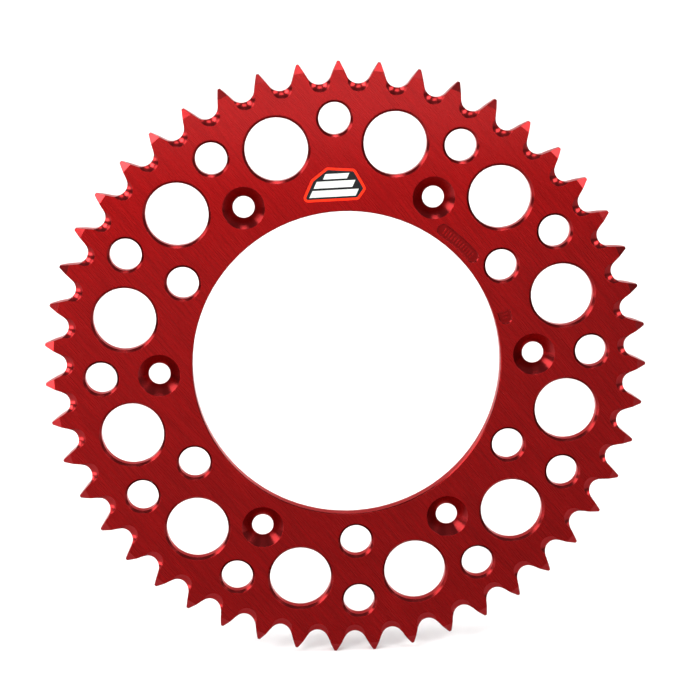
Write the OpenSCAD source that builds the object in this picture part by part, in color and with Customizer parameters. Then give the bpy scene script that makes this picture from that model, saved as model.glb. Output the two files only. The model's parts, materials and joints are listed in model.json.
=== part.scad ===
// Rear sprocket for an off-road motorcycle: one machined aluminium plate with its decal.
// The back face lies on the hub at Y = 0, the countersunk front face looks along -Y, +Z is up.
// The origin is the centre of the hub bore, in the plane of the back face.

/* [Chain] */
// Number of teeth
teeth = 47; // [46:1:53]
// Chain pitch
chain_pitch = 15.875; // [15.8:0.025:15.95]
// Diameter of the chain's rollers
roller_d = 10.16; // [10.1:0.02:10.2]

/* [Plate] */
// Thickness of the plate
plate_t = 6; // [5.5:0.1:7]
// Diameter over the tooth tips, less the pitch diameter
tip_allowance = 7.63; // [6.5:0.01:8]
// How far the tip chamfer reaches inwards from the tip
tip_chamfer_w = 3.65; // [2:0.05:4]
// How deep the tip chamfer goes at the tip, from each face
tip_chamfer_d = 1.7; // [1:0.05:2.2]

/* [Hub] */
// Diameter of the hub bore
bore_d = 125.6; // [120:0.1:126.4]
// Chamfer on both edges of the bore
bore_chamfer = 0.4; // [0.2:0.05:0.8]
// Diameter of the circle that the bolt holes lie on
bolt_circle_d = 153; // [150:0.5:155]
// Diameter of a bolt hole
bolt_hole_d = 8.8; // [8.4:0.1:9]
// Diameter of the bolt head's 90 degree countersink at the front face
countersink_d = 17.2; // [16:0.1:18]

/* [Lightening holes] */
// Diameter of a large hole
large_hole_d = 25.4; // [22:0.1:26]
// Diameter of the circle that the large holes lie on
large_circle_d = 184.1; // [182:0.1:186]
// Diameter of a small hole
small_hole_d = 12.9; // [10:0.1:13.5]
// Diameter of the circle that the outer small holes lie on
outer_circle_d = 200.1; // [199:0.1:201]
// Diameter of the circle that the inner small holes lie on
inner_circle_d = 149; // [148:0.1:151]
// Chamfer on both edges of every hole
hole_chamfer = 1; // [0.4:0.1:1.2]

/* [Mud reliefs] */
// Radius of the ball cutter that makes the relief behind each roller seat
relief_ball_r = 6; // [5:0.5:8]
// Diameter of a relief where it meets the face
relief_d = 8.4; // [7.6:0.1:8.8]
// How far the relief's centre lies outside the roots of the teeth
relief_offset = 1.15; // [0.8:0.05:1.5]

/* [Size mark pockets] */
// Depth of the pockets
pocket_depth = 0.35; // [0.2:0.05:0.6]
// Radius of the circle that both pockets follow
pocket_r = 67.3; // [67:0.1:68]

/* [Decal] */
// Width of the decal
decal_w = 25; // [20:0.5:26]
// Height of the decal
decal_h = 13.6; // [10:0.2:14]
// Thickness of the decal's base film
film_t = 0.2; // [0.15:0.05:0.3]
// Width of the coloured border round the dark field
decal_border = 1; // [0.6:0.1:1.4]

/* [Hidden] */

plate_colour = "firebrick";
film_colour = "orangered";
field_colour = "#141414";
emblem_colour = "gainsboro";

over = 1;                // how far cutters run past a face
arc_steps = 24;          // straight steps in a roller seat's arc
corner_steps = 6;        // straight steps in a round corner of the decal
pitch_angle = 360 / teeth;
pitch_r = chain_pitch / (2 * sin(pitch_angle / 2));
root_r = pitch_r - roller_d / 2;
tip_r = pitch_r + tip_allowance / 2;

// Roller seat and flank of a tooth space, in the proportions of the roller chain standard
seat_r = 0.505 * roller_d;
seat_centre_r = root_r + seat_r;
seat_half_angle = 64;
flank_r = 80;
flank_start = 90 - seat_half_angle;
flank_sweep = 6.4;
flank_steps = 6;

// The hole pattern stands this far round from a tooth tip pointing straight up
pattern_angle = 8 * pitch_angle - 60;

bolt_r = bolt_hole_d / 2;
countersink_depth = (countersink_d - bolt_hole_d) / 2;

relief_centre_r = root_r + relief_offset;
relief_rise = sqrt(relief_ball_r * relief_ball_r - relief_d * relief_d / 4);

// Both pockets: slope of the walls, and where each one stands on the pocket circle
wall_slope = 1;
bar_w = 0.6;
bar_h = 2.6;
bar_inset = 0.6;
long_pocket_angle = 45;
long_pocket_half = 6.9;
long_pocket_w = 5;
long_pocket_bars = 12;
short_pocket_angle = 14.7;
short_pocket_half = 1.2;
short_pocket_w = 5.4;
short_pocket_bars = 3;

// Decal: its outline runs round corner circles, given as shares of the room left inside its box
decal_centre = [-1.5, 73.9];
decal_corner_r = 1.8;
decal_corners = [[-1, -1], [0.8, -1], [1, -0.45], [0.7, 0.8], [-0.2, 1], [-0.72, 0.2]];
layer_t = 0.06;

// Emblem: plain slanted stripes, each with its bottom edge, left end, right end and height
stripes = [[-5, -10.2, 8.4, 2.7], [-1.4, -8.3, 7.2, 2.7], [2.1, -4.4, 5.2, 2.1]];
stripe_slant = 0.52;

// Point at radius r and angle a, counter-clockwise from +X
function polar(r, a) = [r * cos(a), r * sin(a)];

// Points of an arc about a centre, from one angle to another
function arc(centre, r, from, to, steps) =
    [for (i = [0 : steps]) centre + polar(r, from + (to - from) * i / steps)];

// Outline of one tooth space, with its axis along +X: seat arc, two flanks, closed beyond the tips
function space_flank(side) =
    let (
        start = [seat_centre_r, 0] + seat_r * [-cos(seat_half_angle), side * sin(seat_half_angle)],
        centre = start + flank_r * [-sin(flank_start), side * cos(flank_start)]
    )
    [for (i = [1 : flank_steps])
        let (a = flank_start + flank_sweep * i / flank_steps)
        centre + flank_r * [sin(a), -side * cos(a)]];

function reversed(list) = [for (i = [len(list) - 1 : -1 : 0]) list[i]];

function tooth_space() = concat(
    reversed(space_flank(1)),
    arc([seat_centre_r, 0], seat_r, 180 - seat_half_angle, 180 + seat_half_angle, arc_steps),
    space_flank(-1)
);

// Turned blank: ring with the tip chamfers, the bore and its chamfers
module blank() {
    rotate_extrude($fn = 360)
        polygon([
            [bore_d / 2, bore_chamfer],
            [bore_d / 2 + bore_chamfer, 0],
            [tip_r - tip_chamfer_w, 0],
            [tip_r, tip_chamfer_d],
            [tip_r, plate_t - tip_chamfer_d],
            [tip_r - tip_chamfer_w, plate_t],
            [bore_d / 2 + bore_chamfer, plate_t],
            [bore_d / 2, plate_t - bore_chamfer]
        ]);
}

// Straight hole of a given radius, chamfered at the back and opened out by front_w at the front
module hole_cutter(r, back_w, front_w) {
    rotate_extrude($fn = 96)
        polygon([
            [0, -over],
            [r + back_w + over, -over],
            [r, back_w],
            [r, plate_t - front_w],
            [r + front_w + over, plate_t + over],
            [0, plate_t + over]
        ]);
}

// The same cutter placed at each angle of a list, on a circle
module hole_ring(circle_d, angles, r, back_w, front_w) {
    for (a = angles)
        rotate([0, 0, a])
            translate([circle_d / 2, 0, 0])
                hole_cutter(r, back_w, front_w);
}

// Gap between two teeth, with the ball-cut relief behind the roller seat on both faces
module tooth_gap() {
    translate([0, 0, -over])
        linear_extrude(plate_t + 2 * over)
            polygon(tooth_space());
    for (z = [-relief_rise, plate_t + relief_rise])
        translate([relief_centre_r, 0, z])
            sphere(relief_ball_r, $fn = 96);
}

// A pocket's cross-section with sloping walls: both halves for side = -1, one half for side = 0
function pocket_section(half_w, side) =
    let (
        lower = half_w - wall_slope * pocket_depth,
        upper = half_w + wall_slope * over
    )
    [
        [side * lower, plate_t - pocket_depth],
        [lower, plate_t - pocket_depth],
        [upper, plate_t + over],
        [side * upper, plate_t + over]
    ];

// Shallow pocket with sloping walls and round ends that follows the pocket circle
module front_pocket(mid_angle, half_angle, half_w) {
    rotate([0, 0, mid_angle - half_angle])
        rotate_extrude(angle = 2 * half_angle, $fn = 360)
            translate([pocket_r, 0])
                polygon(pocket_section(half_w, -1));
    for (side = [-1, 1])
        rotate([0, 0, mid_angle + side * half_angle])
            translate([pocket_r, 0, 0])
                rotate_extrude($fn = 96)
                    polygon(pocket_section(half_w, 0));
}

// Plain raised bars left standing in a pocket, where a size mark would be
module pocket_bars(mid_angle, half_angle, count) {
    for (i = [0 : count - 1])
        rotate([0, 0, mid_angle - half_angle + 2 * half_angle * i / (count - 1)])
            translate([pocket_r - bar_h / 2, -bar_w / 2, plate_t - pocket_depth - over])
                cube([bar_h, bar_w, pocket_depth + over]);
}

module plate_solid() {
    difference() {
        blank();
        for (i = [0 : teeth - 1])
            rotate([0, 0, 90 + (i + 0.5) * pitch_angle])
                tooth_gap();
        rotate([0, 0, pattern_angle]) {
            hole_ring(bolt_circle_d, [0 : 60 : 300], bolt_r, hole_chamfer, countersink_depth);
            hole_ring(large_circle_d, [15 : 30 : 345], large_hole_d / 2, hole_chamfer, hole_chamfer);
            hole_ring(outer_circle_d, [0 : 30 : 330], small_hole_d / 2, hole_chamfer, hole_chamfer);
            hole_ring(inner_circle_d, [150 : 60 : 390], small_hole_d / 2, hole_chamfer, hole_chamfer);
            difference() {
                front_pocket(long_pocket_angle, long_pocket_half, long_pocket_w / 2);
                pocket_bars(long_pocket_angle, long_pocket_half - bar_inset, long_pocket_bars);
            }
            difference() {
                front_pocket(short_pocket_angle, short_pocket_half, short_pocket_w / 2);
                pocket_bars(short_pocket_angle, short_pocket_half, short_pocket_bars);
            }
        }
    }
}

// Angle of the outward normal of the edge that leaves a corner, corners counter-clockwise
function edge_normal(list, i) =
    let (edge = list[(i + 1) % len(list)] - list[i % len(list)])
    atan2(-edge[0], edge[1]);

// Outline that runs round circles of radius r about the corners of a convex polygon
function rounded(list, r) = [
    for (i = [0 : len(list) - 1])
        let (
            from = edge_normal(list, i + len(list) - 1),
            turn = (edge_normal(list, i) - from + 720) % 360
        )
        each arc(list[i], r, from, from + turn, corner_steps)
];

// Decal outline, moved in from its edge
function decal_outline(inset) = rounded(
    [for (c = decal_corners) [
        c[0] * (decal_w / 2 - decal_corner_r),
        c[1] * (decal_h / 2 - decal_corner_r)
    ]],
    decal_corner_r - inset
);

// One layer of the decal, from one height above the front face up to another
module decal_layer(bottom, top) {
    rotate([0, 0, pattern_angle])
        translate([decal_centre[0], decal_centre[1], plate_t + bottom])
            linear_extrude(top - bottom)
                children();
}

// Stands a shape that was drawn flat upright, with its underside at Y = 0
module upright() {
    rotate([90, 0, 0])
        children();
}

module sprocket_plate() {
    color(plate_colour)
        upright()
            plate_solid();
}

module decal_film() {
    color(film_colour)
        upright()
            decal_layer(0, film_t)
                polygon(decal_outline(0));
}

module decal_field() {
    color(field_colour)
        upright()
            decal_layer(film_t, film_t + layer_t)
                polygon(decal_outline(decal_border));
}

module decal_emblem() {
    color(emblem_colour)
        upright()
            decal_layer(film_t + layer_t, film_t + 2 * layer_t)
                for (s = stripes)
                    polygon([
                        [s[1], s[0]],
                        [s[2], s[0]],
                        [s[2] + stripe_slant * s[3], s[0] + s[3]],
                        [s[1] + stripe_slant * s[3], s[0] + s[3]]
                    ]);
}

sprocket_plate();
decal_film();
decal_field();
decal_emblem();
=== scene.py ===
import json
import math

import bpy
from mathutils import Matrix, Vector

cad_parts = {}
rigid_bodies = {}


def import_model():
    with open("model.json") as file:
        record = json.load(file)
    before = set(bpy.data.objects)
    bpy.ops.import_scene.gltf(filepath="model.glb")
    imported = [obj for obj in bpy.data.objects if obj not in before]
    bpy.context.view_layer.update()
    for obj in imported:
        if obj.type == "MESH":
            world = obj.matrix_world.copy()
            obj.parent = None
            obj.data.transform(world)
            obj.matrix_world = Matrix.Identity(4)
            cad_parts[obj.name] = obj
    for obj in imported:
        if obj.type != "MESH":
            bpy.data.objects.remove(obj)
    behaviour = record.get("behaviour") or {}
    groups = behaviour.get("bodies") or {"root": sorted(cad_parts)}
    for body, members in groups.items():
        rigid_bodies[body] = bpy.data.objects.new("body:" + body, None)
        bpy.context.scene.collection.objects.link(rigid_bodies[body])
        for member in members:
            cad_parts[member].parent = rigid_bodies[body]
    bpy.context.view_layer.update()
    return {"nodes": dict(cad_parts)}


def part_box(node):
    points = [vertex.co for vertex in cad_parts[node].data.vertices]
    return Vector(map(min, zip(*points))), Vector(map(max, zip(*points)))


MM = 0.001

# Camera: angles in degrees, distances in metres, lens and sensor in millimetres
VIEW_AZIMUTH = 2.166
VIEW_ELEVATION = 10.788
VIEW_ROLL = -1.613
VIEW_DISTANCE = 0.80869
VIEW_AIM_X = 1.33 * MM
VIEW_AIM_Z = 6.07 * MM
LENS = 102.24
SENSOR = 36.0
CLIP_START = 0.01
CLIP_END = 100

# Studio, in metres: how far the softboxes stand, and the floor with its sweep
STUDIO = 1.4
FLOOR_HALF_WIDTH = 2.5
FLOOR_FRONT = -4.0
SWEEP_BACK = 1.35
SWEEP_RADIUS = 0.5
SWEEP_HEIGHT = 1.0
SWEEP_STEPS = 24

# Grain: its turn about each axis in radians, and its noise cells to a metre along each axis
PLATE_TURN = (0, math.radians(38), 0)
FINE_GRAIN = (2600, 2600, 90)
COARSE_GRAIN = (700, 700, 60)
SCUFF_TURN = (0, 0.7, 0)
SCUFF_GRAIN = (3000, 3000, 200)
FOIL_TURN = (0, -0.4, 0)
FOIL_GRAIN = (4000, 4000, 160)

# Depths behind the front face between which a square face is the floor of a pocket
POCKET_TOP = 0.2 * MM
POCKET_BOTTOM = 0.85 * MM
POCKET_FADE = 0.05 * MM

# Rounded edges, as the shader sees them
PLATE_EDGE = 0.2 * MM
FILM_EDGE = 0.05 * MM
BEVEL_SAMPLES = 6

# Reds of the plate
RED_DARK = (0.14, 0.0007, 0.0009, 1)
RED_LIGHT = (0.18, 0.0012, 0.0015, 1)
RED_CLOUD = (0.135, 0.0006, 0.0009, 1)
# Painted highlight: a paler, pinker red for the machined cuts, standing in for their pink
# highlights
RED_MACHINED_HIGHLIGHT = (0.20, 0.009, 0.010, 1)
RED_POCKET = (0.10, 0.0006, 0.0006, 1)
# Painted highlight: a lighter red laid on rounded edges
RED_EDGE_HIGHLIGHT = (0.45, 0.03, 0.03, 1)

# Inks and foil of the decal, each with its second shade
ORANGE = (0.80, 0.022, 0.003, 1)
ORANGE_SHADE = (0.70, 0.014, 0.002, 1)
BLACK = (0.008, 0.008, 0.009, 1)
BLACK_SHADE = (0.014, 0.013, 0.014, 1)
FOIL_DARK = (0.46, 0.48, 0.46, 1)
FOIL_LIGHT = (0.60, 0.61, 0.58, 1)


# ---------------------------------------------------------------- node helpers

class Graph:
    """A material's node tree, with short calls for the nodes used here."""

    def __init__(self, name):
        self.material = bpy.data.materials.new(name)
        self.material.use_nodes = True
        self.tree = self.material.node_tree
        self.tree.nodes.clear()
        self.output = self.tree.nodes.new("ShaderNodeOutputMaterial")
        self.coords = self.tree.nodes.new("ShaderNodeTexCoord").outputs["Object"]

    def link(self, source, socket):
        self.tree.links.new(source, socket)

    def put(self, socket, value):
        """Links a node output to a socket, or sets a plain value on it."""
        if isinstance(value, bpy.types.NodeSocket):
            self.link(value, socket)
        else:
            socket.default_value = value

    def math(self, operation, a, b=0.0):
        node = self.tree.nodes.new("ShaderNodeMath")
        node.operation = operation
        self.put(node.inputs[0], a)
        self.put(node.inputs[1], b)
        return node.outputs[0]

    def remap(self, value, low, high, to_low=0.0, to_high=1.0):
        node = self.tree.nodes.new("ShaderNodeMapRange")
        node.clamp = True
        self.put(node.inputs["Value"], value)
        for name, number in (
            ("From Min", low),
            ("From Max", high),
            ("To Min", to_low),
            ("To Max", to_high),
        ):
            node.inputs[name].default_value = number
        return node.outputs["Result"]

    def mapped(self, turn, stretch):
        """Object coordinates, turned and then stretched."""
        turned = self.tree.nodes.new("ShaderNodeMapping")
        turned.inputs["Rotation"].default_value = turn
        self.link(self.coords, turned.inputs["Vector"])
        scaled = self.tree.nodes.new("ShaderNodeMapping")
        scaled.inputs["Scale"].default_value = stretch
        self.link(turned.outputs[0], scaled.inputs["Vector"])
        return scaled.outputs[0]

    def noise(self, vector, scale, detail):
        node = self.tree.nodes.new("ShaderNodeTexNoise")
        node.inputs["Scale"].default_value = scale
        node.inputs["Detail"].default_value = detail
        self.link(vector, node.inputs["Vector"])
        return node.outputs["Fac"]

    def mix(self, amount, a, b):
        """Colour a where amount is 0, b where it is 1."""
        first, second, result = 6, 7, 2  # the node's colour sockets
        node = self.tree.nodes.new("ShaderNodeMix")
        node.data_type = "RGBA"
        self.put(node.inputs["Factor"], amount)
        self.put(node.inputs[first], a)
        self.put(node.inputs[second], b)
        return node.outputs[result]

    def bump(self, height, strength, distance, normal=None):
        node = self.tree.nodes.new("ShaderNodeBump")
        node.inputs["Strength"].default_value = strength
        node.inputs["Distance"].default_value = distance
        self.link(height, node.inputs["Height"])
        if normal is not None:
            self.link(normal, node.inputs["Normal"])
        return node.outputs["Normal"]

    def rounded(self, radius):
        """The surface's normal with its sharp edges rounded."""
        bevel = self.tree.nodes.new("ShaderNodeBevel")
        bevel.samples = BEVEL_SAMPLES
        bevel.inputs["Radius"].default_value = radius
        return bevel.outputs["Normal"]

    def lean(self, normal):
        """How far a normal leans away from the flat one: 0 is not at all."""
        geometry = self.tree.nodes.new("ShaderNodeNewGeometry")
        dot = self.tree.nodes.new("ShaderNodeVectorMath")
        dot.operation = "DOT_PRODUCT"
        self.link(normal, dot.inputs[0])
        self.link(geometry.outputs["Normal"], dot.inputs[1])
        return self.math("SUBTRACT", 1.0, dot.outputs["Value"])

    def blend(self, amount, a, b):
        """Plain number a where amount is 0, b where it is 1."""
        return self.math(
            "ADD",
            self.math("MULTIPLY", self.math("SUBTRACT", 1.0, amount), a),
            self.math("MULTIPLY", amount, b),
        )

    def facing_and_depth(self):
        """1 on faces square to Y and 0 elsewhere, the normal's Y, and the place along Y."""
        tilted, square = 0.97, 0.995
        geometry = self.tree.nodes.new("ShaderNodeNewGeometry")
        normal = self.tree.nodes.new("ShaderNodeSeparateXYZ")
        self.link(geometry.outputs["Normal"], normal.inputs[0])
        place = self.tree.nodes.new("ShaderNodeSeparateXYZ")
        self.link(self.coords, place.inputs[0])
        across = normal.outputs["Y"]
        flat_face = self.remap(self.math("ABSOLUTE", across), tilted, square)
        return flat_face, across, place.outputs["Y"]

    def shader(self, **values):
        node = self.tree.nodes.new("ShaderNodeBsdfPrincipled")
        for name, value in values.items():
            self.put(node.inputs[name.replace("_", " ")], value)
        self.link(node.outputs["BSDF"], self.output.inputs["Surface"])
        return self.material


# ---------------------------------------------------------------- materials

def pocket_floor(g, across, depth, front):
    """1 on the floors of the size mark pockets, which lie a little behind the front face."""
    square, tilted = -0.999, -0.99
    top = front + POCKET_TOP
    bottom = front + POCKET_BOTTOM
    facing = g.remap(across, square, tilted, 1.0, 0.0)
    below = g.remap(depth, top - POCKET_FADE, top + POCKET_FADE)
    above = g.remap(depth, bottom - POCKET_FADE, bottom + POCKET_FADE, 1.0, 0.0)
    return g.math("MULTIPLY", facing, g.math("MULTIPLY", below, above))


def painted_edge_highlight(g, rounded):
    """Painted highlight on rounded edges: 0 on open faces, up to 0.7 on rounded edges, in patches.
    """
    patches = g.noise(g.coords, scale=420.0, detail=3.0)
    return g.math(
        "MULTIPLY",
        g.remap(g.lean(rounded), 0.01, 0.14),
        g.remap(patches, 0.42, 0.62, 0.2, 0.7),
    )


def anodised_aluminium(front):
    """Red anodised aluminium: brushed faces, machined cuts painted paler and pinker as a painted
    highlight, darker pocket floors, rounded edges painted lighter in patches as a painted
    highlight.
    """
    g = Graph("red_anodised_aluminium")
    fine = g.noise(g.mapped(PLATE_TURN, FINE_GRAIN), scale=1.0, detail=2.0)
    coarse = g.noise(g.mapped(PLATE_TURN, COARSE_GRAIN), scale=1.0, detail=3.0)
    cloud = g.noise(g.coords, scale=28.0, detail=3.0)
    flat_face, across, depth = g.facing_and_depth()
    sunk_floor = pocket_floor(g, across, depth, front)
    rounded = g.rounded(PLATE_EDGE)
    edge_highlight = painted_edge_highlight(g, rounded)

    grain = g.math("ADD", g.math("MULTIPLY", coarse, 0.6), g.math("MULTIPLY", fine, 0.4))
    red = g.mix(g.remap(grain, 0.38, 0.62), RED_DARK, RED_LIGHT)
    red = g.mix(g.remap(cloud, 0.35, 0.65, 0.0, 0.35), red, RED_CLOUD)
    # Painted highlight: every cut that is not a flat face gets the paler, pinker red
    red = g.mix(flat_face, RED_MACHINED_HIGHLIGHT, red)
    # Darker red on the pocket floors
    red = g.mix(g.math("MULTIPLY", sunk_floor, 0.6), red, RED_POCKET)
    # Painted highlight: rounded edges lightened in patches
    red = g.mix(g.math("MULTIPLY", edge_highlight, 0.3), red, RED_EDGE_HIGHLIGHT)

    brushed = g.remap(fine, 0.3, 0.7, 0.23, 0.31)
    machined = g.remap(cloud, 0.3, 0.7, 0.19, 0.25)
    roughness = g.blend(flat_face, machined, brushed)
    roughness = g.blend(sunk_floor, roughness, 0.5)
    streaks = g.bump(coarse, strength=0.12, distance=0.015 * MM, normal=rounded)
    return g.shader(
        Base_Color=red,
        Metallic=1.0,
        Roughness=roughness,
        Specular_Tint=(0.9, 0.3, 0.3, 1),
        Normal=g.bump(fine, strength=0.25, distance=0.01 * MM, normal=streaks),
        Coat_Weight=0.1,
        Coat_Roughness=0.15,
        Coat_IOR=1.5,
    )


def printed_film(name, colour, shade, coat):
    """Printed vinyl with a faint orange-peel surface, slightly uneven ink and fine scuffs."""
    g = Graph(name)
    ink = g.noise(g.coords, scale=900.0, detail=3.0)
    peel = g.noise(g.coords, scale=1500.0, detail=2.0)
    toned = g.mix(g.remap(ink, 0.35, 0.65, 0.0, 0.6), colour, shade)
    scuff = g.noise(g.mapped(SCUFF_TURN, SCUFF_GRAIN), scale=1.0, detail=2.0)
    return g.shader(
        Base_Color=toned,
        Roughness=g.remap(scuff, 0.3, 0.7, 0.3, 0.42),
        Normal=g.bump(peel, strength=0.15, distance=0.02 * MM, normal=g.rounded(FILM_EDGE)),
        Specular_IOR_Level=0.05,
        Coat_Weight=coat,
        Coat_Roughness=0.12,
    )


def silver_foil():
    """Silver-white metallic foil print, lightly brushed."""
    g = Graph("decal_silver_foil")
    brush = g.noise(g.mapped(FOIL_TURN, FOIL_GRAIN), scale=1.0, detail=2.0)
    cloud = g.noise(g.coords, scale=260.0, detail=2.0)
    tone = g.mix(g.remap(g.math("ADD", brush, cloud), 0.8, 1.2), FOIL_DARK, FOIL_LIGHT)
    return g.shader(
        Base_Color=tone,
        Metallic=0.35,
        Roughness=g.remap(brush, 0.3, 0.7, 0.28, 0.42),
        Normal=g.bump(brush, strength=0.2, distance=0.01 * MM),
        Coat_Weight=0.2,
        Coat_Roughness=0.1,
    )


def studio_white():
    """Plain matt white."""
    g = Graph("studio_white")
    return g.shader(
        Base_Color=(0.9, 0.9, 0.9, 1),
        Roughness=0.8,
    )


# ---------------------------------------------------------------- pieces

def paint(piece, material):
    """Gives a piece one material in place of its own."""
    piece.data.materials.clear()
    piece.data.materials.append(material)


def add_floor(lowest):
    """A level floor that sweeps up into a backdrop well behind the object."""
    bend = SWEEP_BACK - SWEEP_RADIUS
    profile = [(FLOOR_FRONT, lowest), (bend, lowest)]
    for i in range(1, SWEEP_STEPS + 1):
        a = math.pi / 2 * i / SWEEP_STEPS
        profile.append((
            bend + SWEEP_RADIUS * math.sin(a),
            lowest + SWEEP_RADIUS * (1 - math.cos(a)),
        ))
    profile.append((SWEEP_BACK, lowest + SWEEP_HEIGHT))
    mesh = bpy.data.meshes.new("floor")
    mesh.from_pydata(
        [(x, y, z) for y, z in profile for x in (-FLOOR_HALF_WIDTH, FLOOR_HALF_WIDTH)],
        [],
        [(2 * i, 2 * i + 1, 2 * i + 3, 2 * i + 2) for i in range(len(profile) - 1)],
    )
    for face in mesh.polygons:
        face.use_smooth = True
    floor = bpy.data.objects.new("floor", mesh)
    bpy.context.scene.collection.objects.link(floor)
    paint(floor, studio_white())


# ---------------------------------------------------------------- camera and lights

def add_camera(front):
    """A camera aimed at a point of the front face."""
    azimuth = math.radians(VIEW_AZIMUTH)
    elevation = math.radians(VIEW_ELEVATION)
    forward = Vector((
        math.sin(azimuth) * math.cos(elevation),
        math.cos(azimuth) * math.cos(elevation),
        -math.sin(elevation),
    ))
    level = Vector((math.cos(azimuth), -math.sin(azimuth), 0))
    turn = Matrix.Rotation(-math.radians(VIEW_ROLL), 3, forward)
    right = turn @ level
    above = right.cross(forward)
    aim = Vector((VIEW_AIM_X, front, VIEW_AIM_Z))
    place = aim - forward * VIEW_DISTANCE
    data = bpy.data.cameras.new("camera")
    data.lens = LENS
    data.sensor_width = SENSOR
    data.clip_start = CLIP_START
    data.clip_end = CLIP_END
    camera = bpy.data.objects.new("camera", data)
    basis = Matrix((right, above, -forward)).transposed().to_4x4()
    camera.matrix_world = Matrix.Translation(place) @ basis
    bpy.context.scene.collection.objects.link(camera)
    bpy.context.scene.camera = camera


def lamp_at(name, place, direction, width, height, radiance, spread=180):
    """A rectangular lamp at a place, shining along a direction, given by its radiance."""
    data = bpy.data.lights.new(name, "AREA")
    data.shape = "RECTANGLE"
    data.size = width
    data.size_y = height
    data.spread = math.radians(spread)
    data.energy = radiance * math.pi * width * height
    lamp = bpy.data.objects.new(name, data)
    lamp.location = place
    lamp.rotation_mode = "QUATERNION"
    lamp.rotation_quaternion = direction.to_track_quat("-Z", "Y")
    lamp.visible_camera = False
    bpy.context.scene.collection.objects.link(lamp)


def add_softbox(name, target, azimuth, elevation, width, height, radiance, distance=STUDIO):
    """A softbox that faces the target, at an azimuth to the right of the front, in degrees."""
    a = math.radians(azimuth)
    e = math.radians(elevation)
    offset = Vector((math.sin(a) * math.cos(e), -math.cos(a) * math.cos(e), math.sin(e)))
    lamp_at(name, target + offset * distance, -offset, width, height, radiance)


def add_panel(name, lowest, near, far, width, height, spread, radiance):
    """A level panel at a height over the floor, from near to far, that shines straight down."""
    place = Vector((0, (near + far) / 2, lowest + height))
    lamp_at(name, place, Vector((0, 0, -1)), width, far - near, radiance, spread)


def add_sky(strength):
    """Even white light from all round."""
    world = bpy.data.worlds.new("studio")
    world.use_nodes = True
    background = world.node_tree.nodes["Background"]
    background.inputs["Color"].default_value = (1, 1, 1, 1)
    background.inputs["Strength"].default_value = strength
    bpy.context.scene.world = world


# ---------------------------------------------------------------- scene

for old in list(bpy.data.objects):
    bpy.data.objects.remove(old)
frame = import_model()
low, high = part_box("sprocket_plate")
front = low.y
centre = (low + high) / 2

paint(frame["nodes"]["sprocket_plate"], anodised_aluminium(front))
paint(
    frame["nodes"]["decal_film"],
    printed_film("decal_orange_film", ORANGE, ORANGE_SHADE, coat=0.12),
)
paint(
    frame["nodes"]["decal_field"],
    printed_film("decal_black_film", BLACK, BLACK_SHADE, coat=0.05),
)
paint(frame["nodes"]["decal_emblem"], silver_foil())

add_floor(low.z)
add_camera(front)
add_sky(0.38)
add_softbox("key", centre, azimuth=-80, elevation=31, width=0.6, height=0.6, radiance=5.0)
add_softbox("left_front", centre, azimuth=-43, elevation=27, width=0.6, height=0.55, radiance=14.0)
add_softbox("front_top", centre, azimuth=3, elevation=47, width=0.7, height=0.32, radiance=6.5)
add_softbox("right_front", centre, azimuth=52, elevation=26, width=0.68, height=0.42, radiance=9.0)
add_softbox(
    "left_low", centre, azimuth=-58, elevation=-6, width=0.28, height=0.12, radiance=8.0,
    distance=0.5,
)
add_softbox("strip", centre, azimuth=-6, elevation=3, width=1.2, height=0.2, radiance=6.0)
add_softbox("top", centre, azimuth=0, elevation=78, width=0.6, height=0.4, radiance=0.2)
add_panel(
    "backdrop_light", low.z, near=0.45, far=1.35, width=1.3, height=0.8, spread=70, radiance=0.85,
)
add_panel(
    "floor_light", low.z, near=-0.04, far=0.45, width=0.8, height=0.5, spread=30, radiance=0.5,
)
bpy.context.scene.view_settings.view_transform = "Standard"
